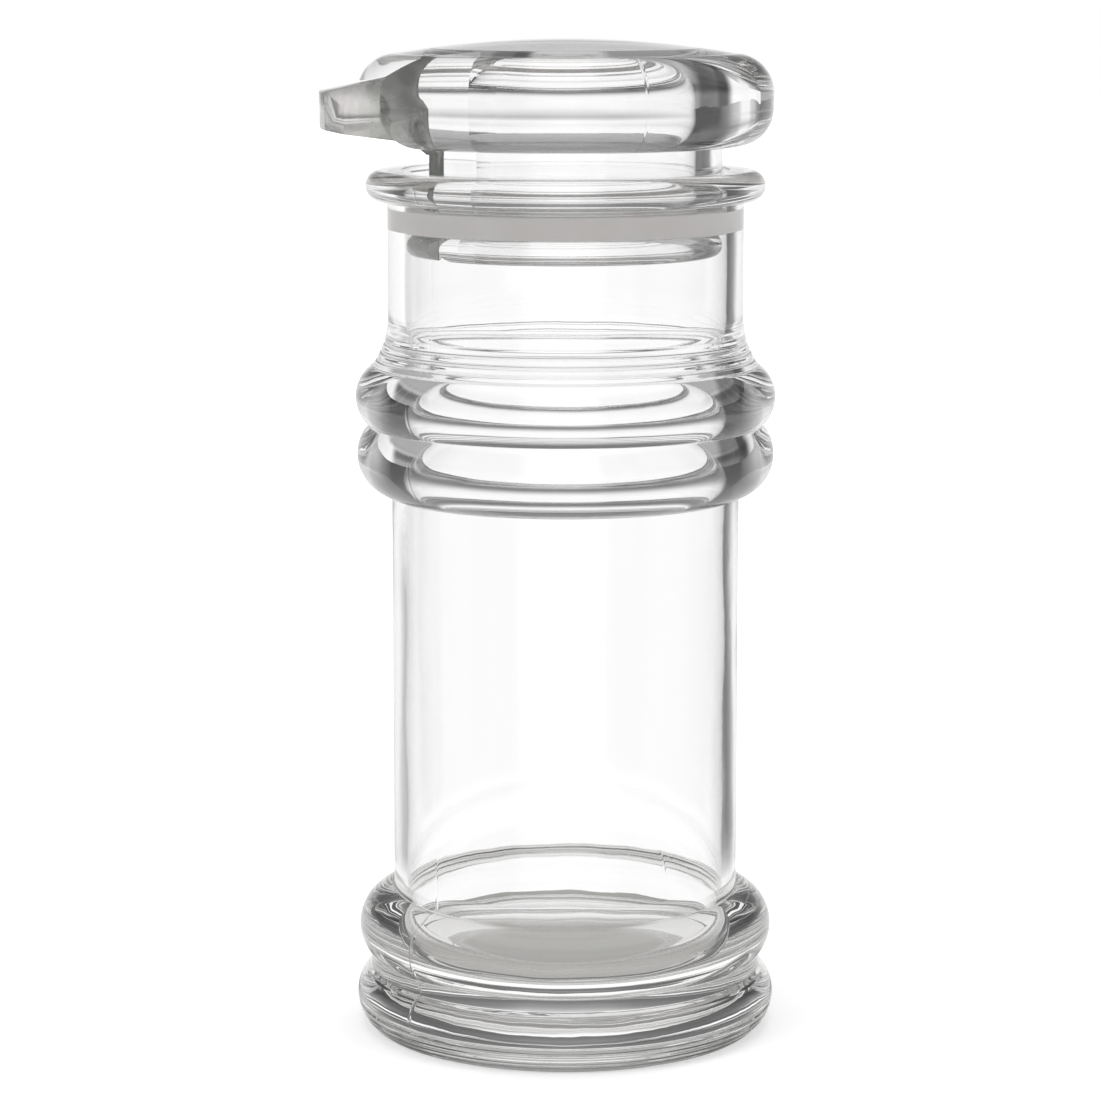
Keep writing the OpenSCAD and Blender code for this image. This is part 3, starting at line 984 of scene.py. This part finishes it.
def make_floor():
    """A plain pale floor, which the clear plastic sees as white with the stage's cards and a painted shadow
    of the part.
    """
    corners = oblong(-STAGE_HALF, STAGE_HALF, -STAGE_HALF, STAGE_HALF)
    floor = solid("floor", [(x, y, STAGE_Z) for x, y in corners], [(0, 1, 2, 3)])
    n = Nodes("pale_floor")
    ray, white, edge = seen(n)
    co = n.place()
    xyz = n.add("SeparateXYZ", None, Vector=co)
    away = n.length(co)
    side = bearing_of(n, xyz)
    # Painted shadow: the floor that the plastic sees close to the part is darker, and warmer by the colour
    # below.
    under = under_part(n, co, xyz.outputs[1], away)
    camera = ray["Is Camera Ray"]
    through = n.math("SUBTRACT", white, camera, clamp=True)
    grain = n.ramp(n.noise(co, 40.0), [(0.3, 0.80), (0.7, 0.84)])
    diffuse = n.add("BsdfDiffuse", None, Color=n.mix(less(n, 0.95, through), (0, 0, 0), grain))
    lift = n.spread(away, 0.12, 0.6, 0.30, 1.0)
    level = n.math("MULTIPLY", n.math("MULTIPLY", under, floor_card(n, edge, side, away)),
                   floor_wings(n, ray, edge, side, away))
    strength = n.math("ADD", n.math("MULTIPLY", camera, lift), n.math("MULTIPLY", through, level))
    colour = n.mix(n.math("MAXIMUM", under, camera), (0.98, 0.96, 0.90), WHITE)
    glow = n.add("Emission", None, Color=colour, Strength=strength)
    both = n.add("AddShader", None, i0=diffuse.outputs[0], i1=glow.outputs[0])
    floor.data.materials.append(n.out(both.outputs[0]))


def make_world():
    """A surround that the camera sees white.

    The plastic sees it white at its foot and overhead, and darker between, with dark cards for edge rays.
    """
    n = Nodes("studio", world=True)
    xyz = n.add("SeparateXYZ", None, Vector=n.add("TexCoord").outputs["Generated"])
    turn = n.math("DIVIDE", n.math("ABSOLUTE", bearing_of(n, xyz)), BACKDROP_HALF)
    up = xyz.outputs[2]
    height = n.ramp(up, [(0.0, 1.0), (0.03, 1.0), (0.09, 0.80), (0.14, 0.58), (0.20, 0.32),
                         (0.30, 0.16), (0.50, 0.22), (0.80, 0.16), (0.88, 1.0), (1.0, 1.0)])
    card = n.ramp(up, [(0.0, 0.02), (0.16, 0.03), (0.30, 0.10), (0.80, 0.10), (0.88, 1.0),
                       (1.0, 1.0)], "EASE")
    beside = n.ramp(turn, [(0.08, 0.0), (0.14, 0.36), (0.24, 0.50), (0.35, 0.80), (0.50, 1.0),
                           (0.80, 0.95), (0.92, 0.40)])
    ray, _, edge = seen(n)
    studio = n.mix(n.math("MULTIPLY", edge, beside), height, card)
    soft = n.math("GREATER_THAN", ray["Diffuse Depth"], 0.5)
    value = n.mix(soft, n.mix(ray["Is Camera Ray"], studio, WHITE), (0.78, 0.78, 0.78))
    SCENE.world = n.out(n.add("Background", None, Color=value, Strength=1.0).outputs[0])


def lamp(name, place, width, depth, watts):
    """An oblong lamp aimed at the middle of the part. Reflections and clear plastic don't show it."""
    light = bpy.data.lights.new(name, "AREA")
    light.shape, light.size, light.size_y, light.energy = "RECTANGLE", width, depth, watts
    obj = bpy.data.objects.new(name, light)
    SCENE.collection.objects.link(obj)
    obj.location = place
    aim = Vector(LAMP_AIM) - Vector(place)
    obj.rotation_euler = aim.to_track_quat("-Z", "Y").to_euler()
    obj.visible_glossy = obj.visible_transmission = False


def make_camera():
    """The photo's view, from 0.6 m away and looking a little downwards."""
    data = bpy.data.cameras.new("camera")
    data.lens, data.sensor_width = CAMERA_LENS, CAMERA_SENSOR
    data.clip_start, data.clip_end = 0.01, 50
    obj = bpy.data.objects.new("camera", data)
    SCENE.collection.objects.link(obj)
    obj.location = CAMERA_PLACE
    obj.rotation_euler = (math.radians(90 - CAMERA_TILT), 0, 0)
    SCENE.camera = obj


make_floor()
make_world()
lamp("key", (-0.75, -0.65, 0.85), 0.5, 0.6, 4.0)
lamp("fill", (0.85, -0.45, 0.6), 0.4, 0.6, 2.0)
lamp("top", (0.0, 0.15, 1.1), 0.7, 0.5, 2.5)
make_camera()
SCENE.view_settings.view_transform = "Standard"
